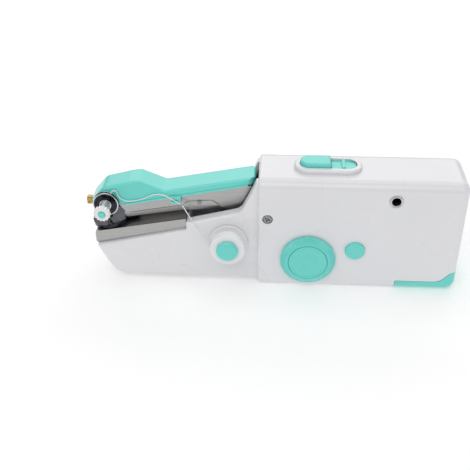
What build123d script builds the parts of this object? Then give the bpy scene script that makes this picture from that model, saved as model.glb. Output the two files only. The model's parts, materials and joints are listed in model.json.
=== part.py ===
"""Hand-held battery chain-stitch sewing machine, all sizes in millimetres.

Frame: +X runs from the needle end to the tail, +Z is up, the base stands on Z = 0 and the
handwheel is on the -Y side.  X = 0 is the main shaft.  One STEP file per separate piece.
"""
import os
from math import acos, atan, cos, degrees, hypot, pi, radians, sin, tan

from build123d import *

os.makedirs("parts", exist_ok=True)

# ------------------------------------------------------------------ driving sizes
BODY_LENGTH = 114.0        # main body along X
BODY_DEPTH = 36.2          # main body along Y
BODY_HEIGHT = 69.7         # main body along Z
BODY_EDGE = 5.8            # rounding of the body's outer edges
STEP_EDGE = 1.6            # rounding where the body steps down to the nose
BODY_LEFT = -28.6          # left end of the body, measured from the main shaft
WALL = 2.0                 # shell wall
NOSE_DEPTH = 31.2          # lower nose along Y
ARM_LENGTH = 101.4         # needle arm, pivot to the tip of its cover
ARM_DEPTH = 16.0           # needle arm cover along Y
HANDWHEEL_D = 31.4         # handwheel over its knurls
SPOOL_D = 22.0             # thread spool over its rear flange

# ------------------------------------------------------------------ stations and clearances
RUN_GAP = 0.05             # radial gap of a shaft turning in its bush
SLIDE_GAP = 0.3            # gap beside a sliding or pressed piece
BUTTON_GAP = 0.08          # radial gap round the round button
SHEET = 0.8                # pressed steel sheet

BODY_RIGHT = BODY_LEFT + BODY_LENGTH
FACE = BODY_DEPTH / 2
INSIDE = FACE - WALL
NOSE_FACE = NOSE_DEPTH / 2
NOSE_IN = NOSE_FACE - 1.8
THROAT_Y = 9.5             # half width of the trough the arm moves in

SHAFT_Z = 20.2             # main shaft height
SHAFT_R = 2.0
PIVOT_X = -23.2            # needle arm pivot
PIVOT_Z = 45.9
TIP_X = PIVOT_X - ARM_LENGTH

GEAR_Y0 = -INSIDE + 0.9    # final drive gear plane
GEAR_Y1 = GEAR_Y0 + 3.4
WHEEL_Y0 = GEAR_Y1 + 0.8   # first reduction plane
WHEEL_Y1 = WHEEL_Y0 + 3.2
PLATE_Y0 = WHEEL_Y1 + 0.8  # steel plate carrying the gears and the motor
PLATE_Y1 = PLATE_Y0 + 1.0

MODULE = 0.8               # final drive tooth module
MODULE_FAST = 0.6          # first reduction tooth module
TEETH_MAIN = 40
TEETH_SMALL = 12
TEETH_WHEEL = 36
TEETH_MOTOR = 12
IDLER_DIR = 50.0           # direction of the idler from the main shaft, degrees
IDLER_DIST = MODULE * (TEETH_MAIN + TEETH_SMALL) / 2 + 0.1
MOTOR_DIST = MODULE_FAST * (TEETH_WHEEL + TEETH_MOTOR) / 2 + 0.1
IDLER_X = IDLER_DIST * cos(radians(IDLER_DIR))
IDLER_Z = SHAFT_Z + IDLER_DIST * sin(radians(IDLER_DIR))
MOTOR_X = IDLER_X + MOTOR_DIST
MOTOR_Z = IDLER_Z

THROW = 2.4                # crank pin offset from the main shaft
CRANK_PIN_R = 1.6
ARM_SWING = 8.0            # needle arm lift, degrees
FORK_Y0 = -1.2
FORK_Y1 = 1.3

SPOOL_X = -45.3
SPOOL_Z = 29.1
RING_X = -35.8             # small raised ring moulded on the nose
RING_Z = 43.2
DISC_X = TIP_X + 9.8       # thread tension unit on the arm head
DISC_Z = 48.6
NEEDLE_X = TIP_X + 7.6
CLAMP_Z = 45.3             # needle clamp screw height
DISC_R = 7.3               # tension discs
POST_R = 1.9               # tension post over its thread

BUTTON_X = 26.2            # round button beside the handwheel
BUTTON_Z = 26.9
BUTTON_R = 5.6
JACK_X = 46.0
JACK_Z = BODY_HEIGHT - 10.2

COVER_LEFT = BODY_RIGHT - 34.9   # left end of the battery cover
COVER_TOP = 6.4
CELL_R = 7.25
CELL_LENGTH = 50.5
CELL_Z = 7.4
CELL_X = BODY_RIGHT - 27.35, BODY_RIGHT - 12.25
CELL_Y = -7.6, 7.6

LOOPER_X = -104.0
LOOPER_Z = 25.3
ROD_Y0 = 8.0               # feed rod bar
ROD_Y1 = 10.0
ROD_Z0 = 18.8
ROD_Z1 = 21.8
LEVER_X = -9.8             # pin that drives the feed rod from the arm
LEVER_Z = 31.0
PRESSER_X = -44.0          # presser arm pivot
PRESSER_Z = 42.5
SCREW_X = -102.4           # screw that holds the presser foot

TEAL = Color(0.42, 0.86, 0.80)
WHITE = Color(0.90, 0.90, 0.91)
STEEL = Color(0.62, 0.63, 0.65)
DARK = Color(0.16, 0.16, 0.18)
BRASS = Color(0.72, 0.58, 0.32)


def save(name, shape, colour=STEEL):
    """Write one piece to its own STEP file."""
    shape.label = name
    shape.color = colour
    export_step(shape, "parts/" + name + ".step")


def bar(x0, x1, y0, y1, z0, z1):
    """Plain block between two corners."""
    size = x1 - x0, y1 - y0, z1 - z0
    return Pos((x0 + x1) / 2, (y0 + y1) / 2, (z0 + z1) / 2) * Box(*size)


def rod_y(x, z, radius, y0, y1):
    """Round bar along Y."""
    turn = Rot(90, 0, 0)
    return Pos(x, (y0 + y1) / 2, z) * turn * Cylinder(radius, abs(y1 - y0))


def rod_x(y, z, radius, x0, x1):
    """Round bar along X."""
    turn = Rot(0, 90, 0)
    return Pos((x0 + x1) / 2, y, z) * turn * Cylinder(radius, abs(x1 - x0))


def rod_z(x, y, radius, z0, z1):
    """Round bar along Z."""
    return Pos(x, y, (z0 + z1) / 2) * Cylinder(radius, abs(z1 - z0))


def tube_y(x, z, outer, inner, y0, y1):
    """Round tube along Y."""
    return rod_y(x, z, outer, y0, y1) - rod_y(x, z, inner, y0 - 1, y1 + 1)


def outline(points, y):
    """Closed XZ face at height y; a point may carry a corner radius as its third value."""
    count = len(points)
    starts = []
    ends = []
    middles = []
    for index, point in enumerate(points):
        here = Vector(point[0], y, point[1])
        before = points[index - 1]
        after = points[(index + 1) % count]
        radius = point[2] if len(point) > 2 else 0
        if radius == 0:
            starts.append(here)
            ends.append(here)
            middles.append(None)
            continue
        to_before = (Vector(before[0], y, before[1]) - here).normalized()
        to_after = (Vector(after[0], y, after[1]) - here).normalized()
        half = acos(max(-1, min(1, to_before.dot(to_after)))) / 2
        reach = radius / tan(half)
        bisector = (to_before + to_after).normalized()
        starts.append(here + to_before * reach)
        ends.append(here + to_after * reach)
        middles.append(here + bisector * (radius / sin(half) - radius))
    edges = []
    for index in range(count):
        if middles[index] is not None:
            edges.append(ThreePointArc(starts[index], middles[index], ends[index]))
        following = starts[(index + 1) % count]
        if (ends[index] - following).length > 1e-6:
            edges.append(Line(ends[index], following))
    return Face(Wire(edges))


def prism(points, y0, y1):
    """XZ outline carried along Y from y0 to y1."""
    return Solid.extrude(outline(points, y0), Vector(0, y1 - y0, 0))


def soften(shape, size, chooser):
    """Round the edges picked by chooser, leaving the shape as it was if none suits."""
    chosen = [edge for edge in shape.edges() if chooser(edge)]
    return fillet(chosen, size) if chosen else shape


def teeth(x, z, count, module, phase, y0, y1):
    """Spur gear blank with stub teeth, one tooth centred on the phase direction."""
    pitch_r = module * count / 2
    tip_r = pitch_r + 0.62 * module
    root_r = pitch_r - 0.95 * module
    step = 360 / count
    points = []
    for index in range(count):
        centre = phase + index * step
        for part, radius in ((-0.32, root_r), (-0.10, tip_r), (0.10, tip_r), (0.32, root_r)):
            angle = radians(centre + part * step)
            points.append((x + radius * cos(angle), z + radius * sin(angle)))
    return prism(points, y0, y1)


def knurl(x, z, outer, depth, count, y0, y1):
    """Round knob whose rim carries straight knurls."""
    points = []
    for index in range(count * 2):
        radius = outer if index % 2 == 0 else outer - depth
        angle = pi * index / count
        points.append((x + radius * cos(angle), z + radius * sin(angle)))
    return prism(points, y0, y1)


def coil(radius, wire, turns, height):
    """Open coil spring standing on Z = 0."""
    path = Helix(height / turns, height, radius)
    start = Plane(origin=path @ 0, z_dir=path % 0)
    return sweep(start * Circle(wire), path=path)


def cord(points, radius, bend):
    """Thread or wire through the given points with rounded bends."""
    path = FilletPolyline(*points, radius=bend)
    start = Plane(origin=path @ 0, z_dir=path % 0)
    return sweep(start * Circle(radius), path=path)


def plate_top(x):
    """Height of the throat plate's upper face."""
    return 41.6 + 0.19 * (x + 69.6)


def ledge(x):
    """Height of the nose ledge below the throat plate."""
    return 35.3 + 0.225 * (x + 69.2)


def cover_edge(x):
    """Height of the lower edge of the arm cover."""
    return 61.6 + 0.206 * (x + 32.5)


# ------------------------------------------------------------------ clamshell
def body_block(inset, edge):
    """Main body block with its edges rounded, the left face's outline only slightly."""
    left = BODY_LEFT + inset
    block = bar(left, BODY_RIGHT - inset, inset - FACE, FACE - inset, inset, BODY_HEIGHT - inset)
    block = soften(block, edge, lambda e: e.center().X > left + 0.01)
    return soften(block, min(edge / 2, STEP_EDGE), lambda e: abs(e.center().X - left) < 0.01)


def nose_shape(inset, face, top_inset):
    """Lower nose; the flared rear end runs up the body's left face."""
    low = 4.2 + inset
    left = TIP_X + 3.6
    points = [
        (-22, low),
        (left + 10.0 + inset * 0.4, low, 9.0 - inset),
        (left + 3.4 + inset, 16.2, 12.0),
        (left + inset, ledge(left) - top_inset),
        (-69.2 + inset, ledge(-69.2) - top_inset),
        (-69.2 + inset, 40.1 - top_inset, 0.6),
        (-38.2 + inset, 48.1 - top_inset, 7.0),
        (-32.6 + inset, 60.0 - top_inset, 12.0),
        (-29.6 + inset, 67.2 - inset, 1.2),
        (-22, 67.2 - inset),
    ]
    return prism(points, -face, face)


nose = nose_shape(0, NOSE_FACE, 0)
nose = soften(nose, 1.5, lambda e: abs(abs(e.center().Y) - NOSE_FACE) < 0.01 and e.center().X < -24)
outer = body_block(0, BODY_EDGE) + nose
hollow = body_block(WALL, BODY_EDGE - WALL) + nose_shape(1.8, NOSE_IN, 1.8)

# collar that the throat plate is pushed over
TIP_IN = TIP_X + 4.0
collar_points = [
    (TIP_IN, ledge(TIP_IN) - 2),
    (-70.4, ledge(-70.4) - 2),
    (-70.4, plate_top(-70.4) - 1.0),
    (TIP_IN, plate_top(TIP_IN) - 1.0),
]
collar = prism(collar_points, -11.9, 11.9)
collar_points = [
    (TIP_IN + 1.5, ledge(TIP_IN) - 4),
    (-71.9, ledge(-71.9) - 4),
    (-71.9, 44.0),
    (TIP_IN + 1.5, 44.0),
]
hollow = hollow + prism(collar_points, -10.6, 10.6)
shell = outer + collar - hollow

# trough and wall opening for the arm
trough_points = [
    (-68.0, 30.0),
    (-68.0, 50.0),
    (-40.0, 67.3),
    (-24.0, 67.3, 2.0),
    (-24.0, 30.0),
]
shell = shell - prism(trough_points, -THROAT_Y, THROAT_Y)

# battery cover seat
cover_points = [
    (COVER_LEFT, -1),
    (BODY_RIGHT + 1, -1),
    (BODY_RIGHT + 1, 12.2),
    (BODY_RIGHT - 4.3, 12.2, 0.4),
    (BODY_RIGHT - 9.4, COVER_TOP, 8.0),
    (COVER_LEFT + 0.2, COVER_TOP, 0.4),
]
seat_points = [
    (COVER_LEFT - 0.2, -2),
    (BODY_RIGHT + 2, -2),
    (BODY_RIGHT + 2, 12.5),
    (BODY_RIGHT - 4.6, 12.5, 0.4),
    (BODY_RIGHT - 9.6, COVER_TOP + 0.25, 8.0),
    (COVER_LEFT - 0.1, COVER_TOP + 0.25, 0.4),
]
shell = shell - prism(seat_points, -FACE - 1, FACE + 1)
cover = body_block(0, BODY_EDGE) & prism(cover_points, -FACE - 1, FACE + 1)
cover_hollow = body_block(1.8, BODY_EDGE - 1.8)
cover = cover - (cover_hollow & bar(COVER_LEFT - 1, BODY_RIGHT, -FACE, FACE, 0, 30))
for side in (-1, 1):
    cover = cover + bar(COVER_LEFT + 12, COVER_LEFT + 24, side * 8 - 2, side * 8 + 2, 1.2, 2.6)
grip = [bar(COVER_LEFT + 6 + n * 2.2, COVER_LEFT + 7 + n * 2.2, -7, 7, -0.5, 0.5) for n in range(5)]
for groove in grip:
    cover = cover - groove
save("battery_cover", cover, TEAL)

contact_low = bar(CELL_X[0] - 6, CELL_X[1] + 6, CELL_Y[0] - 4, CELL_Y[1] + 4, 2.6, 3.1)
for cell_x in CELL_X:
    for cell_y in CELL_Y:
        contact_low = contact_low + Pos(cell_x, cell_y, 3.2) * coil(2.6, 0.35, 3, 3.5)
save("cover_contacts", contact_low, STEEL)

# top opening below the switch bezel
SWITCH_X0 = -9.3
SWITCH_X1 = 28.1
SWITCH_Y = 8.8
BEZEL_TOP = BODY_HEIGHT + 2.5
WELL_X0 = -6.3
WELL_X1 = 25.3
WELL_Y = 5.8
top_hole = bar(WELL_X0 - 0.3, WELL_X1 + 1.7, -WELL_Y - 0.3, WELL_Y + 0.3,
               BODY_HEIGHT - 4, BODY_HEIGHT + 1)
shell = shell - soften(top_hole, 5.2, lambda e: abs(e.tangent_at(0).Z) > 0.9)

# holes in the front face
shell = shell - rod_y(0, SHAFT_Z, 4.0, -FACE - 1, -INSIDE + 3)
shell = shell - rod_y(0, SHAFT_Z, HANDWHEEL_D / 2 - 4, -FACE - 1, -FACE + 0.6)
shell = shell - rod_y(BUTTON_X, BUTTON_Z, BUTTON_R + BUTTON_GAP, -FACE - 1, -INSIDE + 3)
shell = shell - rod_y(JACK_X, JACK_Z, 3.7, -FACE - 1, -INSIDE + 3)

# bosses, ribs and posts
BOSSES = (
    (-22.0, 8.5),
    (44.5, 8.0),
    (44.5, BODY_HEIGHT - 21.5),
    (-19.5, BODY_HEIGHT - 9.0),
)
SCREW_R = 1.4
add_front = rod_y(IDLER_X, IDLER_Z, 3.2, -INSIDE - 0.5, GEAR_Y0 - 0.3)
add_rear = None
for boss_x, boss_z in BOSSES:
    add_front = add_front + rod_y(boss_x, boss_z, 3.4, -INSIDE - 0.5, 0)
    boss = rod_y(boss_x, boss_z, 3.4, 0, INSIDE + 0.5)
    add_rear = boss if add_rear is None else add_rear + boss
add_front = add_front + tube_y(PIVOT_X, PIVOT_Z, 4.2, 2.05, -INSIDE - 0.5, -7.3)
add_rear = add_rear + tube_y(PIVOT_X, PIVOT_Z, 4.2, 2.05, 7.3, INSIDE + 0.5)
for pin_x, pin_z in ((LOOPER_X, LOOPER_Z), (PRESSER_X, PRESSER_Z - 0)):
    reach = 10.4 if pin_x == LOOPER_X else 11.0
    add_front = add_front + rod_y(pin_x, pin_z, 2.8, -NOSE_IN - 0.5, -reach)
    add_rear = add_rear + rod_y(pin_x, pin_z, 2.8, reach, NOSE_IN + 0.5)
partition = bar(COVER_LEFT - 1.4, COVER_LEFT - 0.2, -INSIDE - 0.5, INSIDE + 0.5, 1.0, CELL_Z + 52)
partition = partition + bar(COVER_LEFT - 0.3, BODY_RIGHT - 1, -INSIDE - 0.5, INSIDE + 0.5,
                            CELL_Z + 52, CELL_Z + 53.2)
add_front = add_front + (partition & bar(0, 200, -50, 0, -10, 200))
add_rear = add_rear + (partition & bar(0, 200, 0, 50, -10, 200))
for post_x in (BUTTON_X - 2.0, BUTTON_X + 3.8):
    add_front = add_front + rod_y(post_x, BUTTON_Z - 8.0, 1.2, -INSIDE - 0.5, WHEEL_Y0)
# ledges that the switch carrier rests on
ledge_z = BODY_HEIGHT - 5.7
for side in (-1, 1):
    y0, y1 = sorted((side * (INSIDE - 2.6), side * (INSIDE + 0.5)))
    step = bar(-8.0, 28.5, y0, y1, ledge_z - 1.4, ledge_z)
    if side < 0:
        add_front = add_front + step
    else:
        add_rear = add_rear + step
# slotted guides for the feed rod
for guide_x in (-90.0, -45.0, -30.0):
    guide = bar(guide_x - 1, guide_x + 1, 6.4, NOSE_IN + 0.5, ROD_Z0 - 4, ROD_Z1 + 3.5)
    guide = guide - bar(guide_x - 2, guide_x + 2, 5, ROD_Y1 + 0.6, ROD_Z0 - 1.2, ROD_Z1 + 0.7)
    add_rear = add_rear + guide
# shelf under the presser spring, between the nose walls
SPRING_X = -36.6
shelf = bar(SPRING_X - 3.2, SPRING_X + 3.2, -NOSE_IN - 0.5, NOSE_IN + 0.5, 30.5, 32.5)
add_front = add_front + (shelf & bar(-200, 200, -50, 0, -10, 200))
add_rear = add_rear + (shelf & bar(-200, 200, 0, 50, -10, 200))

front = (shell & bar(-200, 200, -50, 0, -10, 200)) + (add_front & outer)
rear = (shell & bar(-200, 200, 0, 50, -10, 200)) + (add_rear & outer)
front = front + tube_y(RING_X, RING_Z, 1.5, 1.05, -NOSE_FACE - 0.2, -NOSE_FACE + 0.5)
front = front - rod_y(0, SHAFT_Z, 4.0, -FACE - 1, GEAR_Y0 + 0.2)
front = front - rod_y(JACK_X, JACK_Z, 3.7, -FACE - 1, -INSIDE + 0.2)
front = front - rod_y(IDLER_X, IDLER_Z, 1.5, -INSIDE - 0.1, GEAR_Y0)
front = front - rod_y(PIVOT_X, PIVOT_Z, 2.05, -FACE - 1, 0)
front = front - rod_y(PIVOT_X, PIVOT_Z, 2.95, -FACE - 1, -FACE + 1.6)
rear = rear - rod_y(PIVOT_X, PIVOT_Z, 2.05, 0, INSIDE + 0.4)
for pin_x, pin_z in ((LOOPER_X, LOOPER_Z), (PRESSER_X, PRESSER_Z)):
    front = front - rod_y(pin_x, pin_z, 1.2, -NOSE_IN, 0)
    rear = rear - rod_y(pin_x, pin_z, 1.2, 0, NOSE_IN)
front = front - rod_y(SPOOL_X, SPOOL_Z, 1.75, -NOSE_FACE - 1, -NOSE_IN + 1)
for boss_x, boss_z in BOSSES:
    front = front - rod_y(boss_x, boss_z, SCREW_R, -INSIDE + 1, 1)
    rear = rear - rod_y(boss_x, boss_z, SCREW_R + 0.1, -1, FACE + 1)
    rear = rear - rod_y(boss_x, boss_z, 2.9, INSIDE - 5, FACE + 1)
save("front_shell", front, WHITE)
save("rear_shell", rear, WHITE)

# screws that close the clamshell
screws = []
for boss_x, boss_z in BOSSES:
    screw = rod_y(boss_x, boss_z, SCREW_R - 0.02, -9, INSIDE - 5)
    head = rod_y(boss_x, boss_z, 2.6, INSIDE - 5, INSIDE - 3)
    cross = bar(boss_x - 1.6, boss_x + 1.6, INSIDE - 4, INSIDE, boss_z - 0.3, boss_z + 0.3)
    cross = cross + bar(boss_x - 0.3, boss_x + 0.3, INSIDE - 4, INSIDE, boss_z - 1.6, boss_z + 1.6)
    screws.append(screw + head - cross)
save("case_screws", Compound(children=screws), STEEL)

# ------------------------------------------------------------------ throat plate
plate_points = [
    (TIP_X + 2.6, ledge(TIP_X) + 1.2, 1.0),
    (-69.4, ledge(-69.4) + 1.1),
    (-69.4, plate_top(-69.4)),
    (TIP_X + 2.6, plate_top(TIP_X + 2.6), 1.2),
]
throat = prism(plate_points, -12.8, 12.8)
plate_points = [
    (TIP_IN - 0.1, ledge(TIP_X) - 2),
    (-60, ledge(-60) - 2),
    (-60, plate_top(-60) - 1.0),
    (TIP_IN - 0.1, plate_top(TIP_IN) - 1.0),
]
throat = throat - prism(plate_points, -12.0, 12.0)
throat = throat - bar(NEEDLE_X - 2.2, NEEDLE_X + 2.2, -1.7, 1.7, 25, 50)
throat = throat - bar(NEEDLE_X + 2.6, NEEDLE_X + 11.2, 2.3, 6.2, 25, 50)
throat = throat - bar(NEEDLE_X + 2.6, NEEDLE_X + 11.2, -6.2, -2.3, 25, 50)
save("throat_plate", throat, STEEL)

# ------------------------------------------------------------------ needle arm
top_points = [
    (-104.0, 41.3),
    (-71.8, 47.3),
    (-51.5, 48.1),
    (-47.5, 45.4, 1.5),
    (-36.0, 44.6, 2.0),
    (-27.0, 41.0, 2.0),
    (PIVOT_X + 4.2, 40.4, 3.0),
    (PIVOT_X + 5.6, 50.4, 3.0),
    (-31.0, 61.0, 2.0),
    (-80.6, 52.3),
    (-112.0, 48.9),
    (NEEDLE_X - 3.5, 47.2 + 0.9),
    (NEEDLE_X - 3.5, 47.2),
    (-108.5, 47.2),
]
channel = prism(top_points, -6.9, 6.9)
inner_top = [
    (-130.0, 30.0),
    (-10.0, 30.0),
    (-10.0, 70.0),
    (-24.0, 70.0),
    (-31.6, 59.9),
    (-106.0, 46.9),
    (-110.0, 46.9),
    (-130.0, 46.9),
]
channel = channel - prism(inner_top, -6.1, 6.1)
bracket_points = [
    (-71.5, 46.9),
    (-68.7, 49.8, 0.8),
    (-54.8, 50.9, 0.8),
    (-50.6, 47.9),
]
for y0, y1 in ((-7.4, -6.8), (6.8, 7.4)):
    channel = channel + prism(bracket_points, y0, y1)
channel = channel + tube_y(PIVOT_X, PIVOT_Z, 4.4, 2.05, -6.6, 6.6)
channel = channel - rod_y(PIVOT_X, PIVOT_Z, 2.0 + RUN_GAP, -12, 12)
channel = channel - rod_y(-62.0, 49.2, 0.8, -12, 12)
channel = channel - rod_y(DISC_X, DISC_Z, 2.7, -8, -5)
save("arm_frame", channel, STEEL)

rivet = rod_y(-62.0, 49.2, 0.8, -7.4, 7.4)
rivet = rivet + rod_y(-62.0, 49.2, 1.3, -7.9, -7.4) + rod_y(-62.0, 49.2, 1.3, 7.4, 7.9)
save("arm_rivet", rivet, STEEL)

# arm cover
HALF = ARM_DEPTH / 2
side_points = [
    (TIP_X, 47.9, 1.0),
    (TIP_X + 12, 46.2, 4.0),
    (-106.2, cover_edge(-106.2), 2.0),
    (-30.2, cover_edge(-30.2)),
    (-30.2, 66.4, 2.0),
    (-81.7, 56.4, 5.0),
    (-96.0, 62.4, 3.0),
    (-101.5, 61.4, 6.0),
    (TIP_X + 8.0, 57.4, 7.0),
]
arm_cover = prism(side_points, -HALF, HALF)
plan = bar(TIP_X, -30.2, -HALF, HALF, 30, 80)
plan = soften(plan, 5.4, lambda e: abs(e.tangent_at(0).Z) > 0.9)
arm_cover = soften(arm_cover, 1.6, lambda e: abs(abs(e.center().Y) - HALF) < 0.01
                   and e.center().Z > cover_edge(e.center().X) + 1.5 and -122 < e.center().X < -33)
arm_cover = arm_cover & plan
hollow_points = [
    (TIP_X + 1.4, 40.0),
    (-20.0, 40.0),
    (-20.0, 62.3),
    (-31.8, 62.3),
    (-80.6, 52.8),
    (-96.4, 60.4, 2.0),
    (-101.6, 59.6, 4.0),
    (TIP_X + 8.8, 55.6, 5.0),
    (TIP_X + 1.8, 48.6),
]
cavity = bar(TIP_X + 1.4, -20.0, -HALF + 1.0, HALF - 1.0, 39, 80)
cavity = soften(cavity, 3.0, lambda e: abs(e.tangent_at(0).Z) > 0.9 and e.center().X < -100)
arm_cover = arm_cover - (cavity & prism(hollow_points, -HALF + 1.0, HALF - 1.0))
for side in (-1, 1):
    bead_points = [
        (-104.0, cover_edge(-104.0)),
        (-34.5, cover_edge(-34.5)),
        (-34.5, cover_edge(-34.5) + 1.0),
        (-104.0, cover_edge(-104.0) + 1.0),
    ]
    y0, y1 = sorted((side * (HALF - 0.2), side * (HALF + 0.35)))
    arm_cover = arm_cover + prism(bead_points, y0, y1)
arm_cover = arm_cover + (rod_y(DISC_X, DISC_Z, DISC_R - 0.6, -HALF - 0.5, -HALF + 0.5)
                         & bar(-200, 0, -20, 20, 46.6, 80))
arm_cover = arm_cover - rod_y(DISC_X, DISC_Z, POST_R - 0.2, -HALF - 2, 0)
arm_cover = arm_cover - bar(TIP_X - 1, NEEDLE_X + 4.4, -3.6, 3.6, 40, 47.15)
save("arm_cover", arm_cover, TEAL)

# drive fork riding on the crank pin, and the pin that pulls the feed rod
reach_x = -PIVOT_X
reach_z = SHAFT_Z - PIVOT_Z
LEVER = hypot(reach_x, reach_z)
along = Vector(reach_x / LEVER, 0, reach_z / LEVER)
across = Vector(-along.Z, 0, along.X)


def on_lever(distance, offset):
    """Point on the drive lever, measured from the arm pivot."""
    return (PIVOT_X + along.X * distance + across.X * offset,
            PIVOT_Z + along.Z * distance + across.Z * offset)


GAP_NEAR = THROW + CRANK_PIN_R + 0.5
GAP_FAR = GAP_NEAR + LEVER * sin(radians(ARM_SWING))
fork_points = [
    on_lever(-4.0, -4.0) + (3.0,),
    on_lever(18.0, -4.4) + (3.0,),
    on_lever(24.0, -GAP_NEAR - 3.0) + (2.0,),
    on_lever(LEVER + 6.0, -GAP_NEAR - 3.0) + (1.2,),
    on_lever(LEVER + 6.0, -GAP_NEAR) + (1.2,),
    on_lever(LEVER - 8.5, -GAP_NEAR) + (2.0,),
    on_lever(LEVER - 8.5, GAP_FAR) + (2.0,),
    on_lever(LEVER + 6.0, GAP_FAR) + (1.2,),
    on_lever(LEVER + 6.0, GAP_FAR + 3.0) + (1.2,),
    on_lever(22.0, GAP_FAR + 3.0) + (3.0,),
    on_lever(12.0, 4.6) + (3.0,),
    on_lever(-4.0, 4.0) + (3.0,),
]
fork = prism(fork_points, FORK_Y0, FORK_Y1)
fork = fork - rod_y(PIVOT_X, PIVOT_Z, 4.4, -5, 5)
fork = fork + rod_y(LEVER_X, LEVER_Z, 1.0, FORK_Y0, ROD_Y1 + 0.4)
save("drive_fork", fork, STEEL)

# needle, clamp and clamp screw
clamp = bar(NEEDLE_X - 3.4, NEEDLE_X + 3.4, -3.2, 3.2, 42.2, 47.2)
clamp = soften(clamp, 0.6, lambda e: abs(e.tangent_at(0).Z) > 0.9)
clamp = clamp - rod_z(NEEDLE_X, 0, 0.85, 40, 50)
clamp = clamp - rod_x(0, CLAMP_Z, 1.1 + RUN_GAP, NEEDLE_X - 5, NEEDLE_X - 0.4)
save("needle_clamp", clamp, STEEL)
needle = rod_z(NEEDLE_X, 0, 0.83, 38.0, 47.0)
needle = needle + rod_z(NEEDLE_X, 0, 0.55, 27.0, 38.0)
needle = needle + Pos(NEEDLE_X, 0, 25.9) * Cone(0.12, 0.55, 2.4)
needle = needle - rod_y(NEEDLE_X, 28.6, 0.22, -1, 1)
save("needle", needle, STEEL)
thumb = rod_x(0, CLAMP_Z, 1.1, NEEDLE_X - 8.0, NEEDLE_X - 1.1)
knob_points = []
for index in range(36):
    radius = 2.6 if index % 2 == 0 else 2.35
    angle = pi * index / 18
    knob_points.append(Vector(NEEDLE_X - 7.9, radius * cos(angle), CLAMP_Z + radius * sin(angle)))
knob = Solid.extrude(Face(Wire.make_polygon(knob_points)), Vector(-2.7, 0, 0))
thumb = thumb + knob - bar(NEEDLE_X - 11, NEEDLE_X - 9.8, -3, 3, CLAMP_Z - 0.35, CLAMP_Z + 0.35)
save("needle_clamp_screw", thumb, BRASS)

# thread tension unit on the front of the arm head
POST_END = -HALF - 14.6
post = rod_y(DISC_X, DISC_Z, POST_R - 0.2, POST_END, -HALF + 1.6)
post = post + rod_y(DISC_X, DISC_Z, 2.6, -HALF + 1.0, -HALF + 2.2)
for index in range(9):
    ring_y = POST_END + 0.6 + index * 0.9
    post = post + rod_y(DISC_X, DISC_Z, POST_R, ring_y, ring_y + 0.4)
save("tension_post", post, TEAL)
DISC_Y = -HALF - 0.5
discs = []
for index in range(2):
    y0 = DISC_Y - 0.1 - index * 1.5
    plate = tube_y(DISC_X, DISC_Z, DISC_R, POST_R + 0.1, y0 - 0.5, y0)
    lip_y = y0 - 0.9 if index == 1 else y0 - 0.5
    plate = plate + tube_y(DISC_X, DISC_Z, DISC_R, DISC_R - 0.8, lip_y, y0)
    hub_side = y0 - 1.5 if index == 0 else y0 - 1.6
    plate = plate + tube_y(DISC_X, DISC_Z, 3.4, POST_R + 0.1, hub_side, y0)
    discs.append(plate)
save("tension_discs", discs[0] + discs[1], DARK)
spring_y = DISC_Y - 3.55
spring = Pos(DISC_X, spring_y, DISC_Z) * Rot(90, 0, 0) * coil(2.8, 0.3, 5, 5.7)
save("tension_spring", spring, STEEL)
NUT_Y0 = POST_END + 0.6
NUT_Y1 = NUT_Y0 + 3.0
nut_points = []
for index in range(84):
    angle = pi * index / 42
    radius = 4.5 + 0.28 * cos(14 * angle)
    nut_points.append((DISC_X + radius * cos(angle), DISC_Z + radius * sin(angle)))
nut = prism(nut_points, NUT_Y0, NUT_Y1)
nut = nut + rod_y(DISC_X, DISC_Z, 3.3, NUT_Y1, NUT_Y1 + 0.8)
nut = nut - rod_y(DISC_X, DISC_Z, POST_R + RUN_GAP, -40, 0)
save("tension_nut", nut, WHITE)

# thread guide clipped under the cover
hook_x = -75.0
guide = bar(hook_x - 2.8, hook_x + 2.8, -HALF - 1.25, -HALF - 0.35, 49.0, cover_edge(hook_x) + 1.0)
guide = guide - bar(hook_x - 1.4, hook_x + 1.4, -HALF - 2, -HALF + 2, 50.2, 51.8)
guide = guide - bar(hook_x - 3.0, hook_x - 1.0, -HALF - 2, -HALF + 2, 50.6, 51.4)
save("thread_guide", guide, TEAL)

# ------------------------------------------------------------------ presser
presser_top = [
    (-105.6, 37.4),
    (-98.6, 38.7),
    (-72.0, 43.3),
    (-52.0, 44.2, 6.0),
    (PRESSER_X - 1.0, PRESSER_Z - 3.0, 2.0),
    (SPRING_X + 3.4, PRESSER_Z - 2.6, 1.0),
    (SPRING_X + 3.4, PRESSER_Z + 0.6, 1.0),
    (PRESSER_X + 2.4, PRESSER_Z + 3.4, 2.0),
    (-52.0, 47.4, 6.0),
    (-71.8, 46.3),
    (-98.6, 41.3),
    (-105.6, 40.0),
]
presser = prism(presser_top, -5.7, 5.7)
inner_points = [(-104.4, 30.0), (SPRING_X + 2.9, 30.0), (SPRING_X + 2.9, PRESSER_Z - 0.6)]
inner_points = inner_points + [(PRESSER_X + 2.0, PRESSER_Z + 2.4), (-52.0, 46.5), (-71.8, 45.4)]
inner_points = inner_points + [(-98.6, 40.4), (-104.4, 39.3)]
presser = presser - prism(inner_points, -4.9, 4.9)
presser = presser + tube_y(PRESSER_X, PRESSER_Z, 2.3, 1.3, -5.7, 5.7)
presser = presser + bar(SPRING_X - 2.2, SPRING_X + 3.4, -5.7, 5.7, PRESSER_Z - 1.2, PRESSER_Z - 0.2)
presser = presser - rod_y(PRESSER_X, PRESSER_Z, 1.2 + RUN_GAP, -12, 12)
presser = presser - rod_z(SCREW_X, 0, 1.0, 30, 50)
save("presser_arm", presser, STEEL)

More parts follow.
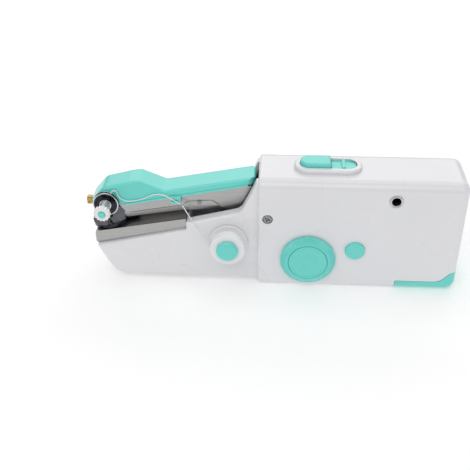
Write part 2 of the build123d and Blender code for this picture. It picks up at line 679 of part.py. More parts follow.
presser_pin = rod_y(PRESSER_X, PRESSER_Z, 1.18, -NOSE_IN, NOSE_IN)
save("presser_pin", presser_pin, STEEL)
presser_spring = Pos(SPRING_X, 0, 32.8) * coil(2.2, 0.3, 5, PRESSER_Z - 1.5 - 32.8)
save("presser_spring", presser_spring, STEEL)

foot_low = plate_top(-113.5) + 0.35
foot = extrude(Plane.XY * Ellipse(11.6, 12.2), 1.2)
foot_cut = extrude(Plane.XY * Ellipse(10.4, 11.0), 3.0)
rim = extrude(Plane.XY * Ellipse(11.6, 12.2), 2.2) - foot_cut
slope = degrees(atan(0.19))
foot = foot + rim
foot = Pos(-113.5, 0, foot_low) * Rot(0, -slope, 0) * foot
foot = foot - bar(NEEDLE_X - 4.6, NEEDLE_X + 3.2, -2.4, 2.4, 28, 44)
foot = foot - bar(NEEDLE_X - 12.0, NEEDLE_X + 0.6, 4.0, 5.2, 28, 44)
stem_points = [
    (-104.3, plate_top(-104.3) + 0.8),
    (-99.6, plate_top(-99.6) + 0.8),
    (-99.6, 40.2),
    (-104.3, 39.3),
]
foot = foot + prism(stem_points, -4.8, 4.8)
foot = foot - rod_z(SCREW_X, 0, 1.0, 36.4, 45)
save("presser_foot", foot, DARK)
foot_screw = rod_z(SCREW_X, 0, 1.0, 36.4, 41.0)
foot_screw = foot_screw + rod_z(SCREW_X, 0, 2.0, 41.0, 42.2)
foot_screw = foot_screw - bar(SCREW_X - 2.2, SCREW_X + 2.2, -0.3, 0.3, 41.6, 43.0)
save("foot_screw", foot_screw, BRASS)

pivot = rod_y(PIVOT_X, PIVOT_Z, 2.0, -FACE + 1.5, INSIDE + 0.3)
pivot_head = rod_y(PIVOT_X, PIVOT_Z, 2.6, -FACE + 0.2, -FACE + 1.6)
pivot = pivot + soften(pivot_head, 0.5, lambda e: abs(e.center().Y + FACE - 0.2) < 0.01)
cross = bar(PIVOT_X - 1.6, PIVOT_X + 1.6, -FACE - 1, -FACE + 1.0, PIVOT_Z - 0.35, PIVOT_Z + 0.35)
cross = cross + bar(PIVOT_X - 0.35, PIVOT_X + 0.35, -FACE - 1, -FACE + 1.0, PIVOT_Z - 1.6, PIVOT_Z + 1.6)
cross = Pos(PIVOT_X, 0, PIVOT_Z) * Rot(0, 24, 0) * Pos(-PIVOT_X, 0, -PIVOT_Z) * cross
save("pivot_screw", pivot - cross, STEEL)

# ------------------------------------------------------------------ feed and looper
rod = bar(NEEDLE_X + 6.0, LEVER_X + 3.6, ROD_Y0, ROD_Y1, ROD_Z0, ROD_Z1)
tail = bar(LEVER_X - 3.6, LEVER_X + 3.6, ROD_Y0, ROD_Y1, ROD_Z0, LEVER_Z + 5.5)
tail = tail - bar(LEVER_X - 1.35, LEVER_X + 1.35, ROD_Y0 - 1, ROD_Y1 + 1, LEVER_Z - 4, LEVER_Z + 2.6)
rod = rod + tail
rod = rod + rod_y(LOOPER_X, LOOPER_Z - 5.0, 1.0, 5.0, ROD_Y0 + 0.5)
save("feed_rod", rod, STEEL)
DOG_X0 = NEEDLE_X + 4.8
DOG_X1 = NEEDLE_X + 9.4
dog_points = [
    (DOG_X0, ROD_Z1 + 1.0),
    (DOG_X1, ROD_Z1 + 1.0),
    (DOG_X1, plate_top(DOG_X1) - 0.25),
    (DOG_X0, plate_top(DOG_X0) - 0.25),
]
dog = prism(dog_points, 2.9, 5.6)
for index in range(4):
    notch_x = DOG_X0 + 0.7 + index * 1.1
    dog = dog - bar(notch_x, notch_x + 0.5, 2, 7, plate_top(notch_x) - 0.9, 45)
dog = dog + bar(DOG_X0, DOG_X1, 2.9, ROD_Y1, ROD_Z1, ROD_Z1 + 2.0)
save("feed_dog", dog, STEEL)

looper = tube_y(LOOPER_X, LOOPER_Z, 2.5, 1.2 + RUN_GAP, -3.6, 7.4)
lever_plate = bar(LOOPER_X - 2.6, LOOPER_X + 2.6, 5.4, 7.4, LOOPER_Z - 8.4, LOOPER_Z)
lever_plate = lever_plate - rod_y(LOOPER_X, LOOPER_Z, 2.0, 4, 9)
lever_plate = lever_plate - bar(LOOPER_X - 1.3, LOOPER_X + 1.3, 4, 9, LOOPER_Z - 7.2, LOOPER_Z - 3.4)
blade_points = [
    (LOOPER_X, LOOPER_Z - 1.8),
    (LOOPER_X - 9.0, LOOPER_Z - 1.6, 2.0),
    (LOOPER_X - 13.2, LOOPER_Z + 0.4),
    (LOOPER_X - 9.0, LOOPER_Z + 0.4, 3.0),
    (LOOPER_X, LOOPER_Z + 1.6),
]
blade = prism(blade_points, -3.6, -2.2) - rod_y(LOOPER_X, LOOPER_Z, 2.0, -5, 0)
looper = looper + lever_plate + blade
save("looper", looper, STEEL)
save("looper_pin", rod_y(LOOPER_X, LOOPER_Z, 1.18, -NOSE_IN, NOSE_IN), STEEL)

# ------------------------------------------------------------------ drive
gear_plate_points = [
    (-14.0, 7.0, 3.0),
    (12.0, 6.0, 3.0),
    (MOTOR_X + 9.0, MOTOR_Z - 10.0, 3.0),
    (MOTOR_X + 9.0, MOTOR_Z + 9.0, 3.0),
    (IDLER_X - 9.0, IDLER_Z + 9.0, 3.0),
    (-12.0, 30.0, 3.0),
]
plate = prism(gear_plate_points, PLATE_Y0, PLATE_Y1)
plate_holes = [(0, SHAFT_Z, 3.4), (IDLER_X, IDLER_Z, 1.5), (MOTOR_X, MOTOR_Z, 3.1)]
for hole_x, hole_z, hole_r in plate_holes:
    plate = plate - rod_y(hole_x, hole_z, hole_r, PLATE_Y0 - 1, PLATE_Y1 + 1)
STANDS = ((-14.5, 8.0), (MOTOR_X + 6.4, MOTOR_Z - 12.4), (IDLER_X - 4.0, IDLER_Z + 12.4))
for stand_x, stand_z in STANDS:
    plate = plate + rod_y(stand_x, stand_z, 3.0, PLATE_Y0, PLATE_Y1)
    plate = plate + rod_y(stand_x, stand_z, 1.8, -INSIDE, PLATE_Y1)
for offset in (-6.0, 6.0):
    plate = plate - rod_y(MOTOR_X, MOTOR_Z + offset, 0.9, PLATE_Y0 - 1, PLATE_Y1 + 1)
save("gear_plate", plate, STEEL)
bushes = [tube_y(0, SHAFT_Z, 4.0, SHAFT_R + RUN_GAP, -FACE + 0.6, GEAR_Y0 - 0.4)]
bushes.append(tube_y(0, SHAFT_Z, 3.4, SHAFT_R + RUN_GAP, PLATE_Y0 - 0.6, PLATE_Y1 + 0.4))
save("shaft_bushes", Compound(children=bushes), BRASS)

shaft = rod_y(0, SHAFT_Z, SHAFT_R, -FACE - 2.6, PLATE_Y1 + 1.0)
shaft = shaft + rod_y(0, SHAFT_Z, 6.0, PLATE_Y1 + 0.9, PLATE_Y1 + 2.8)
shaft = shaft + rod_y(THROW, SHAFT_Z, CRANK_PIN_R, PLATE_Y1 + 2.8, FORK_Y1 + 4.0)
save("main_shaft", shaft, STEEL)
wheel = teeth(0, SHAFT_Z, TEETH_MAIN, MODULE, IDLER_DIR, GEAR_Y0, GEAR_Y1)
for index in range(5):
    angle = radians(72 * index)
    wheel = wheel - rod_y(9.4 * cos(angle), SHAFT_Z + 9.4 * sin(angle), 3.0, -30, 0)
wheel = wheel - rod_y(0, SHAFT_Z, SHAFT_R, -30, 0)
save("main_gear", wheel, WHITE)

phase = IDLER_DIR + 180 + 180 / TEETH_SMALL
idler = teeth(IDLER_X, IDLER_Z, TEETH_SMALL, MODULE, phase, GEAR_Y0, WHEEL_Y0 + 0.5)
idler = idler + teeth(IDLER_X, IDLER_Z, TEETH_WHEEL, MODULE_FAST, 0, WHEEL_Y0, WHEEL_Y1)
idler = idler - rod_y(IDLER_X, IDLER_Z, 1.5 + RUN_GAP, -40, 0)
save("idler_gear", idler, WHITE)
save("idler_pin", rod_y(IDLER_X, IDLER_Z, 1.5, -INSIDE, PLATE_Y1), STEEL)

phase = 180 + 180 / TEETH_MOTOR
pinion = teeth(MOTOR_X, MOTOR_Z, TEETH_MOTOR, MODULE_FAST, phase, WHEEL_Y0, WHEEL_Y1)
pinion = pinion - rod_y(MOTOR_X, MOTOR_Z, 1.0, -40, 0)
save("motor_pinion", pinion, BRASS)
MOTOR_R = 10.0
MOTOR_BACK = INSIDE - 1.2
motor = rod_y(MOTOR_X, MOTOR_Z, MOTOR_R, PLATE_Y1, MOTOR_BACK - 1.6)
motor = motor & bar(MOTOR_X - 20, MOTOR_X + 20, -20, 20, MOTOR_Z - 7.6, MOTOR_Z + 7.6)
motor = soften(motor, 0.8, lambda e: abs(e.center().Y - PLATE_Y1) < 0.01)
motor = motor + rod_y(MOTOR_X, MOTOR_Z, 3.0, PLATE_Y0, PLATE_Y1 + 0.2)
motor = motor + rod_y(MOTOR_X, MOTOR_Z, 5.0, MOTOR_BACK - 1.8, MOTOR_BACK)
motor = motor - rod_y(MOTOR_X, MOTOR_Z, 1.0 + RUN_GAP, -40, MOTOR_BACK - 1.0)
save("motor", motor, STEEL)
save("motor_shaft", rod_y(MOTOR_X, MOTOR_Z, 1.0, WHEEL_Y0 - 0.3, MOTOR_BACK - 1.2), STEEL)
motor_screws = []
for offset in (-6.0, 6.0):
    head = rod_y(MOTOR_X, MOTOR_Z + offset, 1.6, PLATE_Y0 - 0.7, PLATE_Y0)
    head = head + rod_y(MOTOR_X, MOTOR_Z + offset, 0.88, PLATE_Y0, PLATE_Y1)
    motor_screws.append(head)
save("motor_screws", Compound(children=motor_screws), STEEL)

# handwheel
WHEEL_FRONT = -FACE - 3.9
WHEEL_BACK = -FACE - 0.35
WHEEL_BEVEL = 1.7
rim_r = HANDWHEEL_D / 2 - 0.3
hand = knurl(0, SHAFT_Z, HANDWHEEL_D / 2, 0.3, 90, WHEEL_FRONT + WHEEL_BEVEL, WHEEL_BACK)
rim = Cone(rim_r, HANDWHEEL_D / 2 - 3.6, WHEEL_BEVEL)
hand = hand + Pos(0, WHEEL_FRONT + WHEEL_BEVEL / 2, SHAFT_Z) * Rot(90, 0, 0) * rim
hand = hand - rod_y(0, SHAFT_Z, HANDWHEEL_D / 2 - 4.5, WHEEL_FRONT - 1, WHEEL_FRONT + 1.1)
hand = hand - rod_y(0, SHAFT_Z, SHAFT_R, -FACE - 2.6, 0)
save("handwheel", hand, TEAL)
cap = rod_y(0, SHAFT_Z, HANDWHEEL_D / 2 - 4.8, WHEEL_FRONT - 0.4, WHEEL_FRONT + 1.1)
cap = soften(cap, 0.5, lambda e: abs(e.center().Y - WHEEL_FRONT + 0.4) < 0.01)
save("handwheel_cap", cap, TEAL)

# ------------------------------------------------------------------ spool
spindle = rod_y(SPOOL_X, SPOOL_Z, 1.75, -NOSE_FACE - 9.4, -NOSE_IN + 1.0)
spindle = spindle + rod_y(SPOOL_X, SPOOL_Z, 2.8, -NOSE_IN, -NOSE_IN + 1.0)
save("spool_spindle", spindle, STEEL)
SPOOL_Y0 = -NOSE_FACE - 9.2
SPOOL_Y1 = -NOSE_FACE - 0.4
spool = rod_y(SPOOL_X, SPOOL_Z, SPOOL_D / 2 - 1.2, SPOOL_Y0, SPOOL_Y0 + 4.2)
spool = soften(spool, 0.6, lambda e: abs(e.center().Y - SPOOL_Y0) < 0.01)
spool = spool + rod_y(SPOOL_X, SPOOL_Z, 5.0, SPOOL_Y0 + 4.1, SPOOL_Y1)
spool = spool + rod_y(SPOOL_X, SPOOL_Z, SPOOL_D / 2, SPOOL_Y1 - 1.2, SPOOL_Y1)
spool = spool - rod_y(SPOOL_X, SPOOL_Z, 1.75 + RUN_GAP, -50, 0)
spool = spool - tube_y(SPOOL_X, SPOOL_Z, 4.6, 2.6, SPOOL_Y0 - 1, SPOOL_Y0 + 2.6)
save("bobbin", spool, WHITE)
wound = tube_y(SPOOL_X, SPOOL_Z, SPOOL_D / 2 - 2.6, 5.0, SPOOL_Y0 + 4.25, SPOOL_Y1 - 1.25)
save("bobbin_thread", wound, WHITE)
CAP_Y = SPOOL_Y0 - 0.35
spool_cap = rod_y(SPOOL_X, SPOOL_Z, 6.1, CAP_Y - 2.3, CAP_Y)
spool_cap = soften(spool_cap, 0.7, lambda e: abs(e.center().Y - CAP_Y + 2.3) < 0.01)
spool_cap = spool_cap - rod_y(SPOOL_X, SPOOL_Z, 1.75, CAP_Y - 1.2, 0)
save("spool_cap", spool_cap, TEAL)
spool_spring = Pos(SPOOL_X, SPOOL_Y0 + 2.3, SPOOL_Z) * Rot(90, 0, 0) * coil(3.6, 0.3, 3, 2.3)
save("spool_spring", spool_spring, STEEL)

# ------------------------------------------------------------------ switches
bezel = bar(SWITCH_X0, SWITCH_X1, -SWITCH_Y, SWITCH_Y, BODY_HEIGHT, BEZEL_TOP)
bezel = soften(bezel, 8.4, lambda e: abs(e.tangent_at(0).Z) > 0.9)
bezel = soften(bezel, 1.3, lambda e: abs(e.center().Z - BEZEL_TOP) < 0.01)
window = bar(WELL_X0, WELL_X1, -WELL_Y, WELL_Y, BODY_HEIGHT - 1, BEZEL_TOP + 1)
window = soften(window, 5.4, lambda e: abs(e.tangent_at(0).Z) > 0.9)
SPLIT_X = 11.0
pocket = bar(SPLIT_X, WELL_X1 + 1.5, -WELL_Y, WELL_Y, BODY_HEIGHT - 1, BODY_HEIGHT + 1.6)
pocket = soften(pocket, 5.4, lambda e: abs(e.tangent_at(0).Z) > 0.9 and e.center().X > SPLIT_X + 1)
save("switch_bezel", bezel - window - pocket, WHITE)

carrier_top = BODY_HEIGHT - 4.5
carrier = bar(SWITCH_X0 + 0.4, SWITCH_X1 + 1.4, 0.6 - INSIDE, INSIDE - 0.6, carrier_top - 1.2, carrier_top)
carrier = carrier - bar(SWITCH_X0 + 4, SWITCH_X1 - 3, 10, 14, carrier_top - 2, carrier_top + 1)
carrier = carrier - bar(SWITCH_X0 + 4, SWITCH_X1 - 3, -14, -10, carrier_top - 2, carrier_top + 1)
for side in (-1, 1):
    rail = bar(SPLIT_X + 0.5, WELL_X1 - 1.0, side * 3.8 - 0.8, side * 3.8 + 0.8,
               carrier_top, BODY_HEIGHT - 1.9)
    carrier = carrier + rail
STEM_X = 2.4
carrier = carrier - rod_z(STEM_X, 0, 2.4, carrier_top - 3, carrier_top + 1)
for side in (-1, 1):
    leg = bar(STEM_X - 6, STEM_X - 4, side * 6 - 1, side * 6 + 1, carrier_top - 8.0, carrier_top - 1)
    carrier = carrier + leg
    carrier = carrier + Pos(10, 0, 0) * leg
save("switch_carrier", carrier, WHITE)

BUTTON_TOP = BEZEL_TOP + 2.4
button = bar(WELL_X0 + SLIDE_GAP, SPLIT_X - 0.2, -WELL_Y + SLIDE_GAP, WELL_Y - SLIDE_GAP,
             BODY_HEIGHT - 1.5, BUTTON_TOP)
button = soften(button, 5.1, lambda e: abs(e.tangent_at(0).Z) > 0.9 and e.center().X < 0)
button = soften(button, 1.2, lambda e: abs(e.center().Z - BUTTON_TOP) < 0.01)
button = button + rod_z(STEM_X, 0, 1.9, carrier_top - 2.0, BODY_HEIGHT - 1)
save("power_button", button, TEAL)
button_spring = Pos(STEM_X, 0, carrier_top + 0.3) * coil(3.2, 0.3, 2.5, 2.4)
save("power_spring", button_spring, STEEL)
board_z = carrier_top - 8.0
switch = bar(STEM_X - 8, STEM_X + 8, -8, 8, board_z - 1.2, board_z)
switch = switch + bar(STEM_X - 3, STEM_X + 3, -3, 3, board_z, board_z + 3.6)
switch = switch + rod_z(STEM_X, 0, 1.5, board_z + 3.6, board_z + 4.4)
save("power_switch", switch, DARK)

slider = bar(SPLIT_X + 0.3, WELL_X1 - 0.3, -WELL_Y + SLIDE_GAP, WELL_Y - SLIDE_GAP,
             BODY_HEIGHT - 1.7, BODY_HEIGHT + 1.3)
slider = soften(slider, 5.1, lambda e: abs(e.tangent_at(0).Z) > 0.9 and e.center().X > SPLIT_X + 1)
slider = slider + bar(17.0, 18.6, -WELL_Y + 1.0, WELL_Y - 1.0, BODY_HEIGHT + 1.2, BODY_HEIGHT + 2.8)
save("lock_slider", slider, TEAL)

round_button = rod_y(BUTTON_X, BUTTON_Z, BUTTON_R, -FACE - 1.5, -INSIDE - 0.2)
round_button = soften(round_button, 0.9, lambda e: abs(e.center().Y + FACE + 1.5) < 0.01)
round_button = round_button + rod_y(BUTTON_X, BUTTON_Z, 6.2, -INSIDE + 0.3, -INSIDE + 1.1)
round_button = round_button + rod_y(BUTTON_X, BUTTON_Z, BUTTON_R, -INSIDE - 0.3, -INSIDE + 0.4)
save("stitch_button", round_button, TEAL)
board_y = WHEEL_Y0
stitch = bar(BUTTON_X - 3.2, BUTTON_X + 5.4, board_y, board_y + 1.0, BUTTON_Z - 9.4, BUTTON_Z + 2.6)
stitch = stitch + bar(BUTTON_X - 3, BUTTON_X + 3, board_y - 1.9, board_y, BUTTON_Z - 3.6, BUTTON_Z + 2.4)
stitch = stitch + rod_y(BUTTON_X, BUTTON_Z, 1.2, board_y - 2.3, board_y - 1.9)
save("stitch_switch", stitch, DARK)

# ------------------------------------------------------------------ power
jack = tube_y(JACK_X, JACK_Z, 3.65, 2.35, -FACE - 0.7, -INSIDE + 0.1)
jack = jack + bar(JACK_X - 4.2, JACK_X + 2.9, -INSIDE, -INSIDE + 9.4, JACK_Z - 4.4, JACK_Z + 4.4)
jack = jack - rod_y(JACK_X, JACK_Z, 2.35, -FACE - 2, -INSIDE + 7)
save("dc_jack", jack, STEEL)

cells = []
for cell_x in CELL_X:
    for cell_y in CELL_Y:
        cell = rod_z(cell_x, cell_y, CELL_R - 0.1, CELL_Z, CELL_Z + CELL_LENGTH - 1.2)
        cell = cell + rod_z(cell_x, cell_y, 2.6, CELL_Z + CELL_LENGTH - 1.3, CELL_Z + CELL_LENGTH)
        cells.append(cell)
save("batteries", Compound(children=cells), DARK)
contact = bar(CELL_X[0] - 5, CELL_X[1] + 5, CELL_Y[0] - 4, CELL_Y[1] + 4,
              CELL_Z + CELL_LENGTH, CELL_Z + 52)
save("battery_contacts", contact, STEEL)

# ------------------------------------------------------------------ wiring and thread
wires = []
wires.append(cord([(JACK_X - 1, -4.8, JACK_Z), (JACK_X - 1, 1.0, JACK_Z), (30.0, 1.0, JACK_Z),
                   (STEM_X + 8.2, 1.0, board_z - 0.6)], 0.6, 2.0))
wires.append(cord([(STEM_X, 6.0, board_z - 1.4), (STEM_X, 6.0, board_z - 6), (16.0, 13.4, board_z - 6),
                   (MOTOR_X + 6, 13.4, MOTOR_Z + 8.4)], 0.6, 2.0))
save("wiring", Compound(children=wires), DARK)

hook_in = (hook_x - 0.2, -HALF - 1.3, 51.0)
thread_low = cord([(SPOOL_X - 8.75, SPOOL_Y1 - 2.9, SPOOL_Z - 2.5), (-62.0, -NOSE_FACE - 2.9, 37.4),
                   (hook_x + 3.6, -HALF - 2.3, 49.2)], 0.3, 3.0)
save("thread_feed", thread_low, WHITE)
thread_arm = cord([(hook_x + 2.6, -HALF - 2.3, 49.6), (-79.8, -HALF - 1.5, 54.2),
                   (-84.5, -HALF - 0.9, 55.2), (-89.3, -HALF - 0.9, 54.0),
                   (-95.3, -HALF - 0.9, 50.8), (-101.9, -HALF - 0.95, 49.7),
                   (-106.0, -HALF - 0.95, 50.8), (-107.7, -HALF - 0.95, 53.5),
                   (-108.3, -HALF - 1.0, 56.4), (-110.2, -HALF - 1.3, 57.0),
                   (-111.3, DISC_Y - 1.15, 55.6), (-112.4, DISC_Y - 1.15, 52.6)], 0.3, 0.9)
save("thread_arm", thread_arm, WHITE)
thread_needle = cord([(DISC_X - 3.0, DISC_Y - 1.15, DISC_Z - 4.4), (DISC_X - 3.2, DISC_Y - 1.15, 40.6),
                      (NEEDLE_X - 0.6, -1.8, 39.8), (NEEDLE_X, -0.95, 28.8)], 0.3, 1.0)
save("thread_needle", thread_needle, WHITE)
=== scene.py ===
"""Hand-held chain-stitch sewing machine: looks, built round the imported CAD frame."""

import json
import math

import bmesh
import bpy
from mathutils import Matrix, Vector


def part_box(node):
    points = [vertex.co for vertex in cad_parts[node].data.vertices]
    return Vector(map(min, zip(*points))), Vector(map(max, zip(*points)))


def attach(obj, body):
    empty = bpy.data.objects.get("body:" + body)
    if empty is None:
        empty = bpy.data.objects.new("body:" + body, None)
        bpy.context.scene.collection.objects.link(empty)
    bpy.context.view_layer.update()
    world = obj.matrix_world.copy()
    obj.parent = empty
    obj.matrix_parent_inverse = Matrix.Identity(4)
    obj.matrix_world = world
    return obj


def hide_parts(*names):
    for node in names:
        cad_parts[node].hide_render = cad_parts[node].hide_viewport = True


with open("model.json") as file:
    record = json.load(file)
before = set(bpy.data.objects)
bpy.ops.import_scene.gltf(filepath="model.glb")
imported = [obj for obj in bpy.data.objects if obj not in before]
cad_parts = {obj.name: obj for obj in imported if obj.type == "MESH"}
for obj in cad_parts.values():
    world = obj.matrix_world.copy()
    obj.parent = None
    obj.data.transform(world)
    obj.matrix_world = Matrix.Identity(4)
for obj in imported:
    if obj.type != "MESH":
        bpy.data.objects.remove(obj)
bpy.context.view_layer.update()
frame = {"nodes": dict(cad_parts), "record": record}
NODES = frame["nodes"]
MM = 0.001


# ---------------------------------------------------------------- camera
CAMERA_AZIMUTH = 3.743         # degrees
CAMERA_ELEVATION = 33.719
CAMERA_ROLL = -0.507
CAMERA_TARGET = (-42.45, 0.0, 23.04)
CAMERA_DISTANCE = 456.85
SENSOR_WIDTH = 36.0
LENS = 775.16 / 470.0 * SENSOR_WIDTH


def place_camera():
    """Camera slightly above, looking almost square at the front."""
    azimuth = math.radians(CAMERA_AZIMUTH)
    elevation = math.radians(CAMERA_ELEVATION)
    roll = math.radians(CAMERA_ROLL)
    target = Vector(CAMERA_TARGET) * MM
    distance = CAMERA_DISTANCE * MM
    back = Vector((math.sin(azimuth) * math.cos(elevation),
                   -math.cos(azimuth) * math.cos(elevation),
                   math.sin(elevation)))
    right = Vector((math.cos(azimuth), math.sin(azimuth), 0.0))
    up = back.cross(right)
    rolled_right = right * math.cos(roll) + up * math.sin(roll)
    rolled_up = up * math.cos(roll) - right * math.sin(roll)
    data = bpy.data.cameras.new("camera")
    data.sensor_width = SENSOR_WIDTH
    data.lens = LENS
    data.clip_start = 0.01
    camera = bpy.data.objects.new("camera", data)
    bpy.context.scene.collection.objects.link(camera)
    place = target + back * distance
    camera.matrix_world = Matrix((
        (rolled_right.x, rolled_up.x, back.x, place.x),
        (rolled_right.y, rolled_up.y, back.y, place.y),
        (rolled_right.z, rolled_up.z, back.z, place.z),
        (0, 0, 0, 1),
    ))
    bpy.context.scene.camera = camera


place_camera()


# ---------------------------------------------------------------- threads
THREAD_R = 0.3 * MM
ARC_STEPS = 40                 # straight pieces per curve segment when a length is measured
ROUTES = {
    "thread_feed": [(-54.05, -18.9, 26.6), (-62.0, -18.5, 37.4), (-71.4, -10.3, 49.2)],
    "thread_arm": [(-72.4, -10.3, 49.6), (-79.8, -9.5, 54.2), (-84.5, -8.9, 55.2),
                   (-89.3, -8.9, 54.0), (-95.3, -8.9, 50.8), (-101.9, -8.95, 49.7),
                   (-106.0, -8.95, 50.8), (-107.7, -8.95, 53.5), (-108.3, -9.0, 56.4),
                   (-110.2, -9.3, 57.0), (-111.3, -9.65, 55.6), (-112.4, -9.65, 52.6)],
    "thread_needle": [(-117.8, -9.65, 44.2), (-118.0, -9.65, 40.6), (-117.6, -1.8, 39.8),
                      (-117.0, -0.95, 28.8)],
}


def spline_length(points):
    """Length of the clamped quadratic spline with these control points."""
    joints = [points[0]]
    joints += [(a + b) / 2 for a, b in zip(points[1:-2], points[2:-1])]
    joints.append(points[-1])
    total = 0.0
    for index in range(len(points) - 2):
        start, control, end = joints[index], points[index + 1], joints[index + 1]
        last = start
        for step in range(1, ARC_STEPS + 1):
            t = step / ARC_STEPS
            here = start * (1 - t) ** 2 + control * (2 * t * (1 - t)) + end * t ** 2
            total += (here - last).length
            last = here
    return total


def thread(node):
    """Round thread along its route."""
    points = [Vector(point) * MM for point in ROUTES[node]]
    data = bpy.data.curves.new(node + "_yarn", "CURVE")
    data.dimensions = "3D"
    data.bevel_depth = 1.0         # times the radius of each point
    data.bevel_resolution = 4
    data.resolution_u = 16
    spline = data.splines.new("NURBS")
    spline.points.add(len(points) - 1)
    for slot, point in zip(spline.points, points):
        slot.co = (*point, 1.0)
        slot.radius = THREAD_R
    spline.order_u = 3
    spline.use_endpoint_u = True
    piece = bpy.data.objects.new(node + "_yarn", data)
    bpy.context.scene.collection.objects.link(piece)
    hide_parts(node)
    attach(piece, BODY_OF[node])
    length = spline_length(points)
    return piece


BODY_OF = {}
for body, members in frame["record"]["behaviour"]["bodies"].items():
    for node_name in members:
        BODY_OF[node_name] = body
YARNS = [thread(node) for node in ROUTES]


# ---------------------------------------------------------------- materials
class Shader:
    """Small builder for one procedural material."""

    def __init__(self, name):
        self.material = bpy.data.materials.new(name)
        self.material.use_nodes = True
        self.tree = self.material.node_tree
        self.bsdf = self.tree.nodes["Principled BSDF"]
        self.coords = self.tree.nodes.new("ShaderNodeTexCoord").outputs["Object"]
        self.bump_out = None

    def link(self, a, b):
        self.tree.links.new(a, b)

    def scaled(self, scale):
        mapping = self.tree.nodes.new("ShaderNodeMapping")
        mapping.inputs["Scale"].default_value = scale
        self.link(self.coords, mapping.inputs["Vector"])
        return mapping.outputs["Vector"]

    def noise(self, scale, detail=3.0, stretch=None, rough=0.5):
        node = self.tree.nodes.new("ShaderNodeTexNoise")
        node.inputs["Scale"].default_value = scale
        node.inputs["Detail"].default_value = detail
        node.inputs["Roughness"].default_value = rough
        vector = self.coords if stretch is None else self.scaled(stretch)
        self.link(vector, node.inputs["Vector"])
        return node.outputs["Fac"]

    def ramp(self, value, stops):
        node = self.tree.nodes.new("ShaderNodeValToRGB")
        elements = node.color_ramp.elements
        while len(elements) < len(stops):
            elements.new(0.5)
        for element, (place, colour) in zip(elements, stops):
            element.position = place
            element.color = (*colour, 1.0) if len(colour) == 3 else colour
        self.link(value, node.inputs["Fac"])
        return node.outputs["Color"]

    def spread(self, value, low, high):
        node = self.tree.nodes.new("ShaderNodeMapRange")
        node.inputs["From Min"].default_value = 0.1
        node.inputs["From Max"].default_value = 0.9
        node.inputs["To Min"].default_value = low
        node.inputs["To Max"].default_value = high
        self.link(value, node.inputs["Value"])
        return node.outputs["Result"]

    def bump(self, height, strength, distance):
        node = self.tree.nodes.new("ShaderNodeBump")
        node.inputs["Strength"].default_value = strength
        node.inputs["Distance"].default_value = distance
        self.link(height, node.inputs["Height"])
        if self.bump_out is not None:
            self.link(self.bump_out, node.inputs["Normal"])
        self.bump_out = node.outputs["Normal"]
        self.link(self.bump_out, self.bsdf.inputs["Normal"])

    def sockets(self, **values):
        for name, value in values.items():
            self.bsdf.inputs[name.replace("_", " ")].default_value = value


def shade(colour, factor):
    """The same colour, lighter or darker."""
    return tuple(min(1.0, channel * factor) for channel in colour)


def plastic(name, colour, low, high, grain=1400.0, bump=0.08, coat=0.0):
    """Moulded plastic: faint flow marks in its colour, fine spark-eroded grain, uneven gloss."""
    s = Shader(name)
    flow = s.noise(22.0, 2.0)
    s.link(s.ramp(flow, [(0.25, shade(colour, 0.975)), (0.75, shade(colour, 1.02))]),
           s.bsdf.inputs["Base Color"])
    s.link(s.spread(s.noise(40.0, 1.5), low, high), s.bsdf.inputs["Roughness"])
    s.bump(s.noise(grain, 2.0), bump, 0.00004)
    s.sockets(IOR=1.49, Coat_Weight=coat, Coat_Roughness=0.18)
    return s.material


def metal(name, colour, low, high, stretch=(14.0, 900.0, 900.0), bump=0.08, streak=0.07):
    """Pressed or turned metal: drawn lines along the sheet and patches of uneven polish."""
    s = Shader(name)
    lines = s.noise(3.0, 5.0, stretch, 0.6)
    stops = [(0.30, shade(colour, 1.0 - streak)),
             (0.55, colour),
             (0.75, shade(colour, 1.0 + streak))]
    s.link(s.ramp(lines, stops), s.bsdf.inputs["Base Color"])
    s.link(s.spread(s.noise(45.0, 2.0), low, high), s.bsdf.inputs["Roughness"])
    s.bump(lines, bump, 0.00004)
    s.sockets(Metallic=1.0)
    return s.material


def yarn(name, colour):
    """Twisted polyester thread."""
    s = Shader(name)
    fibre = s.noise(2600.0, 3.0)
    s.link(s.ramp(fibre, [(0.3, shade(colour, 0.82)), (0.6, colour)]), s.bsdf.inputs["Base Color"])
    s.link(s.spread(fibre, 0.55, 0.75), s.bsdf.inputs["Roughness"])
    s.bump(fibre, 0.35, 0.00008)
    s.sockets(Sheen_Weight=0.3, Sheen_Roughness=0.4)
    return s.material


